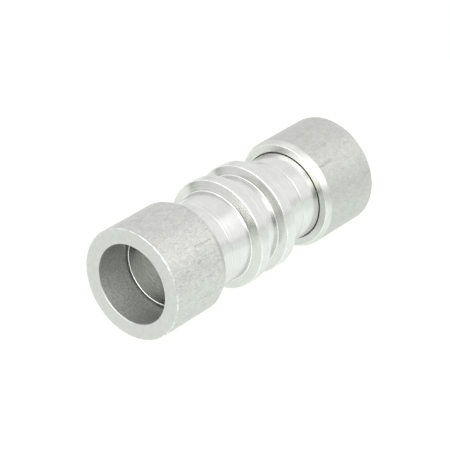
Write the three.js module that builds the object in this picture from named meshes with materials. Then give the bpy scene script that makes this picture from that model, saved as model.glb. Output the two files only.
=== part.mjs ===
// A straight swage-ring coupler for two aluminium air-conditioning tubes, in millimetres, +Z up.
// It lies along X with its middle at the origin. Each tube end slides into a sleeve of the turned body
// as far as the stop, and a swage ring is then pushed along the sleeve towards the middle to grip it.
import * as THREE from "three";

const SEGMENTS = 48; // flats round every turned piece, one of them facing straight down
const CHORD_ERROR = 0.012; // furthest that a rounded corner's outline lies off its true arc

// The tube that the sockets take
const TUBE_RADIUS = 8;
const SOCKET_RADIUS = TUBE_RADIUS + 0.15;
const STOP_RADIUS = 6.8;
const STOP_HALF_WIDTH = 1;

// Overall sizes: rings and flanges share one outer diameter
const OUTER_RADIUS = 12;
const TOTAL_LENGTH = 64.4;

// Swage ring, measured from its outer end face towards its mouth
const RING_LENGTH = 15.6;
const RING_END_BORE = SOCKET_RADIUS + 0.45;
const RING_GRIP_DEPTH = 8.85;
const RING_GRIP_TAPER = 0.052; // growth of the bore's radius for each millimetre of depth
const RING_MOUTH_BORE = 9.95;
const RING_MOUTH_CHAMFER = { length: 1.4, height: 0.62 };
const RING_EDGE_BREAK = 0.12;
const RING_TRAVEL = 5.8; // how far a ring slides before its grip bore bites on the sleeve's crest
const GRIP_CLEARANCE = 0.15; // radial gap between grip bore and sleeve at the end of that travel

// Body, measured from the middle outwards
const GROOVE_RADIUS = 10.08;
const GROOVE_HALF_WIDTH = 2.02;
const FLANGE_WIDTH = 2.8;
const FLANGE_SLOPE = 0.4; // axial run of a flange's side for each millimetre of its height
const NECK_RADIUS = 9.84;
const WAIST_AT = 11.9;
const WAIST_RADIUS = 9.24;
const CREST_AT = 16.4;
const CREST_WIDTH = 0.35;
const CREST_RADIUS = 9.6;
const SLEEVE_INSET = 8.57; // from a ring's outer end face back to the sleeve's own end
const ROOT_FILLET = 0.7;
const EDGE_ROUND = 0.1;
const LEAD_IN = 0.15;

// Rounds the corners of a closed outline. A corner is [axial place, radius, radius of its rounding].
function roundedOutline(corners) {
  const outline = [];
  corners.forEach(([x, r, rounding = 0], i) => {
    const corner = new THREE.Vector2(r, x);
    if (!rounding) {
      outline.push(corner);
      return;
    }
    const ends = [corners.at(i - 1), corners[(i + 1) % corners.length]];
    const [back, ahead] = ends.map(([ex, er]) => new THREE.Vector2(er, ex).sub(corner).normalize());
    const half = Math.acos(THREE.MathUtils.clamp(back.dot(ahead), -1, 1)) / 2;
    const reach = rounding / Math.tan(half);
    const from = corner.clone().addScaledVector(back, reach);
    const to = corner.clone().addScaledVector(ahead, reach);
    const centre = corner.clone().addScaledVector(back.clone().add(ahead).normalize(), rounding / Math.sin(half));
    const start = Math.atan2(from.y - centre.y, from.x - centre.x);
    let turn = Math.atan2(to.y - centre.y, to.x - centre.x) - start;
    turn -= 2 * Math.PI * Math.round(turn / (2 * Math.PI));
    const largestStep = 2 * Math.acos(1 - CHORD_ERROR / rounding);
    const steps = Math.ceil(Math.abs(turn) / largestStep);
    for (let k = 0; k <= steps; k++) {
      const angle = start + (turn * k) / steps;
      outline.push(
        new THREE.Vector2(centre.x + rounding * Math.cos(angle), centre.y + rounding * Math.sin(angle)),
      );
    }
  });
  outline.push(outline[0].clone());
  return outline;
}

// Turns a closed outline round the X axis, with a flat at the bottom.
function turned(name, corners, material) {
  const geometry = new THREE.LatheGeometry(roundedOutline(corners), SEGMENTS, Math.PI / SEGMENTS);
  geometry.rotateZ(-Math.PI / 2);
  const mesh = new THREE.Mesh(geometry, material);
  mesh.name = name;
  return mesh;
}

// The outline of one half of the body, from the groove out along the sleeve and back down its socket.
function bodyHalf() {
  const side = (height) => FLANGE_SLOPE * height;
  const flangeIn = GROOVE_HALF_WIDTH + side(OUTER_RADIUS - GROOVE_RADIUS);
  const flangeOut = flangeIn + FLANGE_WIDTH;
  const flangeRoot = flangeOut + side(OUTER_RADIUS - NECK_RADIUS);
  const bodyEnd = TOTAL_LENGTH / 2 - SLEEVE_INSET;
  // At the end of the ring's travel the sleeve's taper lies just inside the ring's grip taper.
  const gripAt = (x) => RING_END_BORE + RING_GRIP_TAPER * (TOTAL_LENGTH / 2 - RING_TRAVEL - x);
  const sleeveAt = (x) => gripAt(x) - GRIP_CLEARANCE;
  const crestEnd = CREST_AT + CREST_WIDTH;
  const shoulder = CREST_RADIUS - sleeveAt(crestEnd);
  return [
    [GROOVE_HALF_WIDTH, GROOVE_RADIUS, ROOT_FILLET],
    [flangeIn, OUTER_RADIUS, EDGE_ROUND],
    [flangeOut, OUTER_RADIUS, EDGE_ROUND],
    [flangeRoot, NECK_RADIUS, ROOT_FILLET],
    [WAIST_AT, WAIST_RADIUS],
    [CREST_AT, CREST_RADIUS],
    [crestEnd, CREST_RADIUS],
    [crestEnd + shoulder, sleeveAt(crestEnd + shoulder)],
    [bodyEnd, sleeveAt(bodyEnd), EDGE_ROUND],
    [bodyEnd, SOCKET_RADIUS + LEAD_IN],
    [bodyEnd - LEAD_IN, SOCKET_RADIUS],
    [STOP_HALF_WIDTH, SOCKET_RADIUS],
    [STOP_HALF_WIDTH, STOP_RADIUS],
  ];
}

// The coupler body: a double-flanged collar with a thin sleeve on each side, all one turned piece.
function couplerBody() {
  const half = bodyHalf();
  const mirrored = half.map(([x, r, rounding]) => [-x, r, rounding]).reverse();
  const material = new THREE.MeshStandardMaterial({ color: 0xc9ccca, roughness: 0.32, metalness: 1 });
  return turned("coupler_body", [...half, ...mirrored], material);
}

// A swage ring on one sleeve, its mouth towards the middle. side is -1 on the left and 1 on the right.
function swageRing(name, side) {
  const end = TOTAL_LENGTH / 2;
  const gripBore = RING_END_BORE + RING_GRIP_TAPER * RING_GRIP_DEPTH;
  const corners = [
    [0, RING_END_BORE + RING_EDGE_BREAK],
    [0, OUTER_RADIUS, RING_EDGE_BREAK],
    [RING_LENGTH - RING_MOUTH_CHAMFER.length, OUTER_RADIUS],
    [RING_LENGTH, OUTER_RADIUS - RING_MOUTH_CHAMFER.height],
    [RING_LENGTH, RING_MOUTH_BORE, EDGE_ROUND],
    [RING_GRIP_DEPTH + RING_MOUTH_BORE - gripBore, RING_MOUTH_BORE],
    [RING_GRIP_DEPTH, gripBore],
    [RING_EDGE_BREAK, RING_END_BORE],
  ].map(([depth, r, rounding]) => [side * (end - depth), r, rounding]);
  const material = new THREE.MeshStandardMaterial({ color: 0xaeb1ae, roughness: 0.6, metalness: 1 });
  return turned(name, side > 0 ? corners.reverse() : corners, material);
}

const coupler = new THREE.Group();
coupler.add(couplerBody());
coupler.add(swageRing("swage_ring_left", -1));
coupler.add(swageRing("swage_ring_right", 1));

export default coupler;
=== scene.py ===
"""Looks of the swage-ring tube coupler: a turned aluminium body and two tumbled aluminium rings.

Each CAD node is stood for by a finely turned mesh of the same outline, with rounded edges.
Outlines are in millimetres and meshes in metres. The coupler's axis is X and its middle is the origin.
"""

import math

import bpy
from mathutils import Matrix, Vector


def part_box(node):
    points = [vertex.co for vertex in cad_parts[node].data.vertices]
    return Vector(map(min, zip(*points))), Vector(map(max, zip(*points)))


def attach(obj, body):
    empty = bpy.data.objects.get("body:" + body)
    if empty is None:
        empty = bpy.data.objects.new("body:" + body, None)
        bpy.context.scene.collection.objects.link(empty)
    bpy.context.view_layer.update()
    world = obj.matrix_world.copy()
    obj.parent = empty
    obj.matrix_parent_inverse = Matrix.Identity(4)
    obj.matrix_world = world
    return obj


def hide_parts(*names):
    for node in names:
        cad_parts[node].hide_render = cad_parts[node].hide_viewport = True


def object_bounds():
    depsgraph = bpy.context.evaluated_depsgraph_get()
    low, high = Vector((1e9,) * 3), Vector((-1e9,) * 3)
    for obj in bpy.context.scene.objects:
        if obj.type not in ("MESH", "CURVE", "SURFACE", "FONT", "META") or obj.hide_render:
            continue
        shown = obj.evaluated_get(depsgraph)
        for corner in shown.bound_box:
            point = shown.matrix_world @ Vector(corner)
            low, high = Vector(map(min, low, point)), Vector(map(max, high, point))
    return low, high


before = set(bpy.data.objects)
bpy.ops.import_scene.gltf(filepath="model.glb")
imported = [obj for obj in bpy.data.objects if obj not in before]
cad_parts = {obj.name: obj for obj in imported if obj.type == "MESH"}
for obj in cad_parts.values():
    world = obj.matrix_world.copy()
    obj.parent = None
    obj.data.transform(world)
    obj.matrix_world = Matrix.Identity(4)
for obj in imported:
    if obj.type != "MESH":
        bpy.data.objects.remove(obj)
CAD_LOW, CAD_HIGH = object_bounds()

MM = 0.001
HALF_LENGTH = CAD_HIGH.x / MM
RING_LENGTH = (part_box("swage_ring_left")[1].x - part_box("swage_ring_left")[0].x) / MM
BODY_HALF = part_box("coupler_body")[1].x / MM

# Outer shape shared by rings and flanges
OUTER_RADIUS = 12.0

# Ring, measured from its outer end face towards its mouth
RING_END_BORE = 8.6
GRIP_DEPTH = 8.85
GRIP_BORE = 9.06
MOUTH_BORE = 9.95
MOUTH_LIP = 9.7
MOUTH_LIP_DEPTH = 0.3
MOUTH_CHAMFER_LENGTH = 1.4
MOUTH_CHAMFER_HEIGHT = 0.62

# Body, measured from the middle outwards
GROOVE_RADIUS = 10.08
GROOVE_HALF_WIDTH = 2.02
FLANGE_WIDTH = 2.8
FLANGE_SLOPE = 0.4
NECK_RADIUS = 9.84
WAIST_AT = 11.9
WAIST_RADIUS = 9.24
CREST_AT = 16.4
CREST_WIDTH = 0.35
CREST_RADIUS = 9.6
SLEEVE_ROOT_AT = 17.43
SLEEVE_ROOT_RADIUS = 8.915
SLEEVE_END_RADIUS = 8.59
SLEEVE_END_CHAMFER = 0.22
SLEEVE_LIP_RADIUS = 8.35
SOCKET_RADIUS = 8.15
STOP_RADIUS = 6.8
STOP_HALF_WIDTH = 1.0

# Radii that corners are rounded to, and the small steps that break sharp edges
EDGE_ROUND = 0.22
SOFT_ROUND = 0.2
FINE_ROUND = 0.05
WAIST_ROUND = 0.03
LEAD_IN = 0.08
RIM_BREAK = 0.12
WAIST_LINE_HALF_WIDTH = 0.1

# Fineness of the turned meshes
COLUMNS = 288
ARC_STEPS = 7
SUPPORT = 0.04
ROW_GAP = 1.2

# Camera and table. Angles are in degrees, the lens in millimetres and lengths in metres.
CAMERA_AZIMUTH = 51.1
CAMERA_ELEVATION = 28.34
CAMERA_LENS = 192.7
CAMERA_DISTANCE = 0.4969
CAMERA_OFFSET = Vector((-1.74 * MM, -0.11 * MM, 0.0))
TABLE_REACH = 0.9
TABLE_RIGHT = Vector((0.628, -0.778, 0.0))


# ---------------------------------------------------------------- outlines and turning

def rounded_outline(corners):
    """A closed outline of (x, r) points from corners of (x, r, rounding).

    A close point on each side of an arc keeps the flat stretches flat under smooth shading.
    """
    spans = []
    for i, (x, r, rounding) in enumerate(corners):
        corner = Vector((x, r))
        back = (Vector(corners[i - 1][:2]) - corner).normalized()
        ahead = (Vector(corners[(i + 1) % len(corners)][:2]) - corner).normalized()
        half = back.angle(ahead) / 2
        reach = rounding / math.tan(half)
        centre = corner + (back + ahead).normalized() * (rounding / math.sin(half))
        start, end = corner + back * reach, corner + ahead * reach
        first = math.atan2(start.y - centre.y, start.x - centre.x)
        turn = math.remainder(math.atan2(end.y - centre.y, end.x - centre.x) - first, math.tau)
        angles = [first + turn * k / ARC_STEPS for k in range(ARC_STEPS + 1)]
        spans.append([centre + Vector((math.cos(a), math.sin(a))) * rounding for a in angles])
    outline = []
    for i, arc in enumerate(spans):
        outline += arc
        start, end = arc[-1], spans[(i + 1) % len(spans)][0]
        run = (end - start).length
        if run > 3 * SUPPORT:
            inner = run - 2 * SUPPORT
            rows = max(1, math.ceil(inner / ROW_GAP))
            outline += [start.lerp(end, (SUPPORT + inner * k / rows) / run) for k in range(rows + 1)]
    return outline


def turned(name, corners, node, body, materials, choose):
    """A mesh turned round X from a closed outline, riding on a CAD body and standing for a CAD node.

    choose(x, r) gives the number of the finish at a point of the outline.
    """
    outline = rounded_outline(corners)
    rows = len(outline)
    angles = [math.tau * k / COLUMNS for k in range(COLUMNS)]
    vertices = [
        (p.x * MM, p.y * math.sin(a) * MM, p.y * math.cos(a) * MM) for a in angles for p in outline
    ]
    faces = [
        (
            c * rows + r,
            c * rows + (r + 1) % rows,
            (c + 1) % COLUMNS * rows + (r + 1) % rows,
            (c + 1) % COLUMNS * rows + r,
        )
        for c in range(COLUMNS)
        for r in range(rows)
    ]
    mesh = bpy.data.meshes.new(name)
    mesh.from_pydata(vertices, [], faces)
    mesh.validate()
    mesh.shade_smooth()
    for material in materials:
        mesh.materials.append(material)
    middles = [(outline[r] + outline[(r + 1) % rows]) / 2 for r in range(rows)]
    finishes = [choose(middle.x, middle.y) for middle in middles]
    mesh.polygons.foreach_set("material_index", finishes * COLUMNS)
    piece = bpy.data.objects.new(name, mesh)
    bpy.context.scene.collection.objects.link(piece)
    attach(piece, body)
    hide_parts(node)
    return piece


# ---------------------------------------------------------------- shader helpers

class Graph:
    """A few short calls for wiring shader nodes."""

    def __init__(self, tree):
        self.tree = tree
        tree.nodes.clear()

    def node(self, kind, inputs=None, **settings):
        made = self.tree.nodes.new(kind)
        for key, value in settings.items():
            setattr(made, key, value)
        for key, value in (inputs or {}).items():
            if isinstance(value, bpy.types.NodeSocket):
                self.tree.links.new(value, made.inputs[key])
            else:
                made.inputs[key].default_value = value
        return made

    def math(self, operation, a, b=0.0, c=0.0, clamp=False):
        made = self.node("ShaderNodeMath", {0: a, 1: b, 2: c}, operation=operation, use_clamp=clamp)
        return made.outputs[0]

    def ramp(self, value, low, high, out_low=0.0, out_high=1.0):
        made = self.node(
            "ShaderNodeMapRange",
            {"Value": value, "From Min": low, "From Max": high, "To Min": out_low, "To Max": out_high},
            interpolation_type="SMOOTHSTEP",
        )
        return made.outputs["Result"]

    def noise(self, vector, scale, detail=2.0, roughness=0.5):
        made = self.node(
            "ShaderNodeTexNoise",
            {"Vector": vector, "Scale": scale, "Detail": detail, "Roughness": roughness},
        )
        return made.outputs["Fac"]

    def dot(self, vector, axis):
        made = self.node("ShaderNodeVectorMath", {0: vector, 1: axis}, operation="DOT_PRODUCT")
        return made.outputs["Value"]

    def scaled(self, vector, factor):
        made = self.node("ShaderNodeVectorMath", {0: vector, "Scale": factor}, operation="SCALE")
        return made.outputs[0]

    def mapped(self, vector, scale, rotation=(0.0, 0.0, 0.0)):
        made = self.node(
            "ShaderNodeMapping", {"Vector": vector, "Rotation": rotation, "Scale": scale}
        )
        return made.outputs[0]

    def mix(self, factor, a, b):
        made = self.node("ShaderNodeMix", data_type="RGBA")
        for socket, value in ((0, factor), (6, a), (7, b)):
            if isinstance(value, bpy.types.NodeSocket):
                self.tree.links.new(value, made.inputs[socket])
            else:
                made.inputs[socket].default_value = value
        return made.outputs[2]


def metal(name, build):
    """A metal material. build(graph, position) returns colour, roughness and height, and a relief in mm."""
    material = bpy.data.materials.new(name)
    material.use_nodes = True
    g = Graph(material.node_tree)
    position = g.node("ShaderNodeTexCoord").outputs["Object"]
    colour, roughness, height, relief = build(g, position)
    bump = g.node("ShaderNodeBump", {"Height": height, "Distance": relief * MM, "Strength": 1.0})
    shader = g.node(
        "ShaderNodeBsdfPrincipled",
        {
            "Base Color": colour,
            "Metallic": 1.0,
            "Roughness": roughness,
            "Specular Tint": (0.9, 0.88, 0.9, 1.0),
            "Normal": bump.outputs[0],
        },
    )
    g.node("ShaderNodeOutputMaterial", {"Surface": shader.outputs[0]})
    return material


def turning_coordinates(g, position):
    """Coordinates that run along the axis, out along the radius, and only slowly round the piece."""
    xyz = g.node("ShaderNodeSeparateXYZ", {0: position}).outputs
    radius = g.math("SQRT", g.math("ADD", g.math("POWER", xyz[1], 2.0), g.math("POWER", xyz[2], 2.0)))
    angle = g.math("ARCTAN2", xyz[1], xyz[2])
    around = g.math("MULTIPLY", angle, 0.00005)
    return g.node("ShaderNodeCombineXYZ", {0: xyz[0], 1: radius, 2: around}).outputs[0]


def aluminium(level, blue_loss=0.01):
    """A pale grey with a trace of green, as bare aluminium reflects."""
    return (level, level + 0.005, level - blue_loss, 1.0)


def turned_finish(dark, light, smoothest):
    """Fine concentric tool marks over a slightly clouded, lightly handled surface."""

    def build(g, position):
        along = turning_coordinates(g, position)
        marks = g.noise(along, 4200.0, 4.0, 0.65)
        clouds = g.noise(position, 330.0, 3.0, 0.6)
        smears = g.noise(position, 1500.0, 2.0)
        tone = g.math("ADD", g.math("MULTIPLY", marks, 0.6), g.math("MULTIPLY", clouds, 0.4))
        colour = g.mix(g.ramp(tone, 0.35, 0.65), dark, light)
        wear = g.math("ADD", marks, g.math("MULTIPLY", clouds, 0.5))
        roughness = g.ramp(wear, 0.5, 1.0, smoothest, smoothest + 0.12)
        height = g.math("ADD", marks, g.math("MULTIPLY", smears, 0.5))
        return colour, roughness, height, 0.005

    return build


def tumbled_finish(dark, light, smoothest):
    """A mottled blasted grain, with light scuffs along the axis and a few fine scratches."""

    def build(g, position):
        grain = g.noise(position, 4000.0, 3.0, 0.8)
        mottle = g.noise(position, 700.0, 3.0, 0.6)
        stretched = g.mapped(position, (0.25, 1.0, 1.0))
        scuffs = g.noise(stretched, 2600.0, 3.0, 0.65)
        slanted = g.mapped(position, (0.1, 1.0, 1.0), (0.3, 0.5, 0.7))
        scratches = g.ramp(g.noise(slanted, 1700.0, 2.0), 0.66, 0.72)
        tone = g.math("ADD", g.math("MULTIPLY", grain, 0.68), g.math("MULTIPLY", scuffs, 0.17))
        tone = g.math("ADD", tone, g.math("MULTIPLY", mottle, 0.15))
        tone = g.math("SUBTRACT", tone, g.math("MULTIPLY", scratches, 0.12))
        colour = g.mix(g.ramp(tone, 0.38, 0.62), dark, light)
        roughness = g.ramp(grain, 0.3, 0.7, smoothest, smoothest + 0.14)
        height = g.math("ADD", grain, g.math("MULTIPLY", scuffs, 0.35))
        height = g.math("SUBTRACT", height, scratches)
        return colour, roughness, height, 0.065

    return build


def burnished_highlight_finish(g, position):
    """An edge rubbed smooth by handling, whose lighter colour is also a painted highlight that draws bright
    lines on edges, corner roots and the waist line.
    """
    nicks = g.noise(position, 1400.0, 3.0, 0.6)
    colour = g.mix(g.ramp(nicks, 0.35, 0.6), (0.8, 0.805, 0.79, 1.0), (0.93, 0.93, 0.92, 1.0))
    return colour, g.ramp(nicks, 0.3, 0.7, 0.34, 0.2), nicks, 0.01


def worn_finish(g, position):
    """A ring edge with its brightness broken up by tumbling."""
    knocks = g.noise(position, 900.0, 4.0, 0.75)
    colour = g.mix(g.ramp(knocks, 0.4, 0.62), (0.62, 0.625, 0.61, 1.0), (0.9, 0.9, 0.89, 1.0))
    return colour, g.ramp(knocks, 0.3, 0.7, 0.42, 0.26), knocks, 0.03


def faced_finish(g, position):
    """The ring's flat end, faced in a lathe and then lightly tumbled."""
    along = turning_coordinates(g, position)
    marks = g.noise(along, 3000.0, 3.0)
    mottle = g.noise(position, 900.0, 3.0, 0.6)
    tone = g.math("ADD", g.math("MULTIPLY", marks, 0.4), g.math("MULTIPLY", mottle, 0.6))
    colour = g.mix(g.ramp(tone, 0.35, 0.65), (0.6, 0.597, 0.595, 1.0), (0.66, 0.657, 0.655, 1.0))
    return colour, g.ramp(tone, 0.3, 0.7, 0.3, 0.4), g.math("ADD", mottle, marks), 0.012


def bored_finish(g, position):
    """The sandy wall of a drilled hole."""
    sand = g.noise(position, 2700.0, 3.0, 0.85)
    colour = g.mix(g.ramp(sand, 0.38, 0.62), (0.66, 0.675, 0.65, 1.0), (0.97, 0.98, 0.955, 1.0))
    return colour, g.ramp(sand, 0.3, 0.7, 0.44, 0.3), sand, 0.16


def reamed_finish(g, position):
    """The smooth wall of a reamed socket."""
    marks = g.noise(turning_coordinates(g, position), 2600.0, 3.0)
    colour = g.mix(g.ramp(marks, 0.35, 0.65), (0.84, 0.85, 0.83, 1.0), (0.92, 0.93, 0.91, 1.0))
    return colour, g.ramp(marks, 0.3, 0.7, 0.24, 0.34), marks, 0.004


# ---------------------------------------------------------------- the coupler

def body_corners():
    """The body's outline: one half from the groove to the tube stop, and then the same mirrored."""
    flange_in = GROOVE_HALF_WIDTH + FLANGE_SLOPE * (OUTER_RADIUS - GROOVE_RADIUS)
    flange_out = flange_in + FLANGE_WIDTH
    flange_root = flange_out + FLANGE_SLOPE * (OUTER_RADIUS - NECK_RADIUS)
    half = [
        (GROOVE_HALF_WIDTH, GROOVE_RADIUS, EDGE_ROUND),
        (flange_in, OUTER_RADIUS, EDGE_ROUND),
        (flange_out, OUTER_RADIUS, EDGE_ROUND),
        (flange_root, NECK_RADIUS, EDGE_ROUND),
        (WAIST_AT - WAIST_LINE_HALF_WIDTH, WAIST_RADIUS + 0.01, WAIST_ROUND),
        (WAIST_AT, WAIST_RADIUS - 0.025, FINE_ROUND),
        (WAIST_AT + WAIST_LINE_HALF_WIDTH, WAIST_RADIUS + 0.01, WAIST_ROUND),
        (CREST_AT, CREST_RADIUS, 0.3),
        (CREST_AT + CREST_WIDTH, CREST_RADIUS, 0.1),
        (SLEEVE_ROOT_AT, SLEEVE_ROOT_RADIUS, SOFT_ROUND),
        (BODY_HALF - SLEEVE_END_CHAMFER, SLEEVE_END_RADIUS, FINE_ROUND),
        (BODY_HALF, SLEEVE_LIP_RADIUS, 0.04),
        (BODY_HALF, SOCKET_RADIUS + LEAD_IN, 0.02),
        (BODY_HALF - LEAD_IN, SOCKET_RADIUS, 0.02),
        (STOP_HALF_WIDTH, SOCKET_RADIUS, FINE_ROUND),
        (STOP_HALF_WIDTH, STOP_RADIUS, 0.15),
    ]
    return half + [(-x, r, rounding) for x, r, rounding in reversed(half)]


def ring_corners(side):
    """A ring's outline, its mouth towards the middle. side is -1 on the left and 1 on the right."""
    corners = [
        (RIM_BREAK, RING_END_BORE, FINE_ROUND),
        (0.0, RING_END_BORE + RIM_BREAK, FINE_ROUND),
        (0.0, OUTER_RADIUS, EDGE_ROUND),
        (RING_LENGTH - MOUTH_CHAMFER_LENGTH, OUTER_RADIUS, 0.12),
        (RING_LENGTH, OUTER_RADIUS - MOUTH_CHAMFER_HEIGHT, 0.16),
        (RING_LENGTH, MOUTH_LIP, 0.08),
        (RING_LENGTH - MOUTH_LIP_DEPTH, MOUTH_BORE, 0.1),
        (GRIP_DEPTH + MOUTH_BORE - GRIP_BORE, MOUTH_BORE, SOFT_ROUND),
        (GRIP_DEPTH, GRIP_BORE, SOFT_ROUND),
    ]
    placed = [(side * (HALF_LENGTH - depth), r, rounding) for depth, r, rounding in corners]
    return placed if side > 0 else placed[::-1]


# Finishes by number, as the pieces' material slots hold them
TURNED, BURNISHED_HIGHLIGHT, SOCKET, FLANK_PAINTED_SHADE = range(4)
TUMBLED, END_EDGE, BORED, MOUTH, FACED, MOUTH_EDGE, CHAMFER = range(7)


def near(value, place):
    return abs(value - place) < 0.09


def body_choice(x, r):
    """The finish of the body at a point of its outline."""
    if r < SOCKET_RADIUS + 0.06:
        return SOCKET
    edge = OUTER_RADIUS - 0.16 < r < OUTER_RADIUS - 0.001
    groove_root = GROOVE_RADIUS < r < GROOVE_RADIUS + 0.14 and abs(x) < 3
    neck_root = near(r, NECK_RADIUS + 0.07) and abs(x) < 7
    waist = abs(abs(x) - WAIST_AT) < 0.07
    # Painted highlight: edges, corner roots and the waist line take the lighter burnished colour.
    if edge or groove_root or neck_root or waist:
        return BURNISHED_HIGHLIGHT
    # Painted shade: the flanges' sloping faces take the darker flank colour.
    return FLANK_PAINTED_SHADE if GROOVE_RADIUS < r < OUTER_RADIUS - 0.1 else TURNED


def ring_choice(x, r):
    """The finish of a ring at a point of its outline."""
    depth = HALF_LENGTH - abs(x)
    chamfer_foot = OUTER_RADIUS - MOUTH_CHAMFER_HEIGHT
    if depth > RING_LENGTH - MOUTH_CHAMFER_LENGTH + 0.02 and r > MOUTH_LIP + 0.02:
        if near(r, chamfer_foot) and depth > RING_LENGTH - 0.2:
            return MOUTH_EDGE
        if r <= chamfer_foot:
            return MOUTH
        return TUMBLED if x < 0 else CHAMFER
    if depth < 0.001 and RING_END_BORE + 0.15 < r < OUTER_RADIUS - 0.25:
        return FACED
    if r < MOUTH_BORE + 0.01 and depth > RIM_BREAK + 0.01:
        return BORED
    if r < RING_END_BORE + 0.16 and depth < 0.16:
        return FACED
    edge = 0.001 < depth < 0.3 and OUTER_RADIUS - 0.3 < r < OUTER_RADIUS - 0.001
    return END_EDGE if edge else TUMBLED


burnished_highlight = metal("burnished_edge_highlight", burnished_highlight_finish)
worn = metal("worn_edge", worn_finish)
bored = metal("bored_aluminium", bored_finish)
faced = metal("faced_aluminium", faced_finish)
reamed = metal("reamed_socket", reamed_finish)
outside = metal("turned_aluminium", turned_finish(aluminium(0.73, 0.005), aluminium(0.83, 0.005), 0.13))
# Painted shade: the flanges' sloping faces are the body's turned aluminium painted darker.
flank_painted_shade = metal("turned_flank_painted_shade", turned_finish(aluminium(0.67), aluminium(0.75), 0.12))
# Painted light and shade: both rings' mouths are one turned surface, the left one painted much lighter and
# the right one darker.
left_mouth_painted_light = metal("turned_mouth_left_painted_light", turned_finish(aluminium(0.88), aluminium(0.94), 0.16))
right_mouth_painted_shade = metal("turned_mouth_right_painted_shade", turned_finish(aluminium(0.61), aluminium(0.7), 0.16))
chamfer = metal("turned_chamfer", turned_finish(aluminium(0.66), aluminium(0.78), 0.3))
left_grain = tumbled_finish(aluminium(0.53), aluminium(0.78), 0.28)
left_outside = metal("tumbled_aluminium_left", left_grain)
right_grain = tumbled_finish(aluminium(0.53), aluminium(0.71), 0.36)
right_outside = metal("tumbled_aluminium_right", right_grain)

# In the order of the finishes' numbers
body_finishes = [outside, burnished_highlight, reamed, flank_painted_shade]
left_finishes = [left_outside, worn, bored, left_mouth_painted_light, faced, worn]
# The right ring's mouth edge takes the lighter burnished colour as a painted highlight; the left one's is
# worn.
right_finishes = [right_outside, worn, bored, right_mouth_painted_shade, faced, burnished_highlight, chamfer]

turned("body_turned", body_corners()[::-1], "coupler_body", "body", body_finishes, body_choice)
turned("ring_left", ring_corners(-1), "swage_ring_left", "left_ring", left_finishes, ring_choice)
turned(
    "ring_right", ring_corners(1), "swage_ring_right", "right_ring", right_finishes, ring_choice
)


# ---------------------------------------------------------------- studio

def make_floor():
    """A pale glowing table. Its glow is painted darker to the near left and a little to the right, as
    painted shade.
    """
    height = -OUTER_RADIUS * MM
    signs = ((-1, -1), (1, -1), (1, 1), (-1, 1))
    mesh = bpy.data.meshes.new("floor")
    mesh.from_pydata([(x * TABLE_REACH, y * TABLE_REACH, height) for x, y in signs], [], [(0, 1, 2, 3)])
    material = bpy.data.materials.new("pale_table")
    material.use_nodes = True
    g = Graph(material.node_tree)
    position = g.node("ShaderNodeTexCoord").outputs["Object"]
    xyz = g.node("ShaderNodeSeparateXYZ", {0: position}).outputs
    rightwards = g.dot(position, TABLE_RIGHT)
    # Painted shade: the table's glow is dimmed to the near left and a little to the right.
    left = g.ramp(xyz[0], -0.16, -0.11, 0.35, 0.97)
    front = g.ramp(xyz[1], -0.18, -0.12, 0.35, 0.97)
    front_left = g.math("MAXIMUM", front, g.ramp(xyz[0], 0.0, 0.06, 0.35, 0.9))
    right = g.ramp(rightwards, 0.046, 0.075, 0.97, 0.81)
    painted_table_glow = g.math("MINIMUM", g.math("MINIMUM", left, front_left), right)
    glow = g.node("ShaderNodeEmission", {"Color": (0.985, 1.035, 0.98, 1.0), "Strength": painted_table_glow})
    matt = g.node("ShaderNodeBsdfDiffuse", {"Color": (0.07, 0.072, 0.07, 1.0)})
    both = g.node("ShaderNodeAddShader", {0: glow.outputs[0], 1: matt.outputs[0]})
    g.node("ShaderNodeOutputMaterial", {"Surface": both.outputs[0]})
    mesh.materials.append(material)
    floor = bpy.data.objects.new("floor", mesh)
    bpy.context.scene.collection.objects.link(floor)


def soft_box(g, direction, azimuth, elevation, half_width, half_height, soft):
    """How far a direction lies inside a rectangular light, from 0 to 1. Angles are in degrees."""
    a, e = math.radians(azimuth), math.radians(elevation)
    facing = Vector((math.cos(e) * math.cos(a), math.cos(e) * math.sin(a), math.sin(e)))
    right = Vector((0, 0, 1)).cross(facing).normalized()
    up = facing.cross(right)

    ahead = g.dot(direction, facing)
    inside = g.math("GREATER_THAN", ahead, 0.0)
    for axis, half in ((right, half_width), (up, half_height)):
        off = g.math("ABSOLUTE", g.math("DIVIDE", g.dot(direction, axis), g.math("MAXIMUM", ahead, 0.001)))
        edge = math.tan(math.radians(half))
        inside = g.math("MULTIPLY", inside, g.ramp(off, edge * (1 - soft), edge * (1 + soft), 1.0, 0.0))
    return inside


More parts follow.
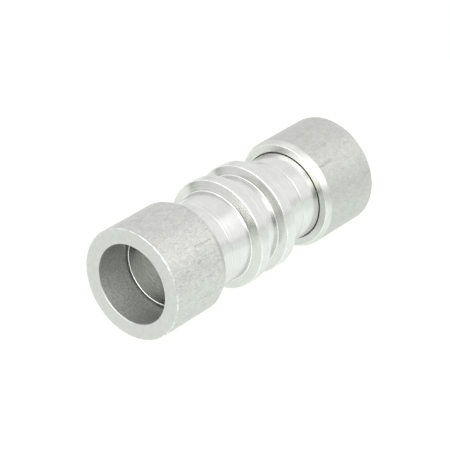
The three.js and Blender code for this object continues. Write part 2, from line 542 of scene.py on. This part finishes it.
LAMPS = (
    # azimuth, elevation, half width, half height, softness, brightness (dark where negative), colour
    (-36.0, 25.0, 27.0, 21.0, 0.2, 0.04, (1.0, 1.0, 0.985)),
    (-104.0, 47.0, 38.0, 29.0, 0.35, 0.55, (1.0, 1.0, 0.985)),
    (-92.0, 42.0, 17.0, 13.0, 0.3, 0.9, (1.0, 1.0, 0.985)),
    (-158.0, 20.0, 26.0, 15.0, 0.25, 1.0, (1.0, 0.985, 0.86)),
    (168.0, 48.0, 28.0, 24.0, 0.4, 1.0, (1.0, 1.0, 0.97)),
    (-112.0, 5.0, 34.0, 14.0, 0.25, -0.42, (1.0, 1.0, 1.0)),
    (-43.0, 4.5, 22.0, 3.5, 0.5, -0.06, (1.0, 1.0, 1.0)),
)


def make_world():
    """A light tent: pale walls, dimmer towards the horizon, with soft boxes and dark panels."""
    world = bpy.data.worlds.new("light_tent")
    bpy.context.scene.world = world
    world.use_nodes = True
    g = Graph(world.node_tree)
    direction = g.node("ShaderNodeTexCoord").outputs["Generated"]
    rise = g.node("ShaderNodeSeparateXYZ", {0: direction}).outputs[2]
    slit = g.ramp(rise, 0.0, 0.02, 0.77, 0.95)
    walls = g.math("MINIMUM", slit, g.ramp(rise, 0.0, 0.25, 0.84, 0.95))
    light = g.scaled((1.0, 1.0, 0.985), walls)
    for azimuth, elevation, half_width, half_height, soft, strength, colour in LAMPS:
        box = soft_box(g, direction, azimuth, elevation, half_width, half_height, soft)
        tinted = tuple(strength * channel for channel in colour)
        lamp = g.scaled(tinted, box)
        light = g.node("ShaderNodeVectorMath", {0: light, 1: lamp}, operation="ADD").outputs[0]
    background = g.node("ShaderNodeBackground", {"Color": light, "Strength": 1.0})
    g.node("ShaderNodeOutputWorld", {"Surface": background.outputs[0]})


def make_camera():
    """A view of the coupler from above its left end, through a long lens."""
    azimuth = math.radians(CAMERA_AZIMUTH)
    elevation = math.radians(CAMERA_ELEVATION)
    ahead = Vector(
        (
            math.sin(azimuth) * math.cos(elevation),
            math.cos(azimuth) * math.cos(elevation),
            -math.sin(elevation),
        )
    )
    turn = ahead.to_track_quat("-Z", "Y")
    data = bpy.data.cameras.new("camera")
    data.lens = CAMERA_LENS
    data.clip_start = 0.01
    data.clip_end = 10.0
    camera = bpy.data.objects.new("camera", data)
    camera.rotation_mode = "QUATERNION"
    camera.rotation_quaternion = turn
    camera.location = turn @ CAMERA_OFFSET - ahead * CAMERA_DISTANCE
    bpy.context.scene.collection.objects.link(camera)
    bpy.context.scene.camera = camera


make_floor()
make_world()
make_camera()
bpy.context.scene.view_settings.view_transform = "Standard"
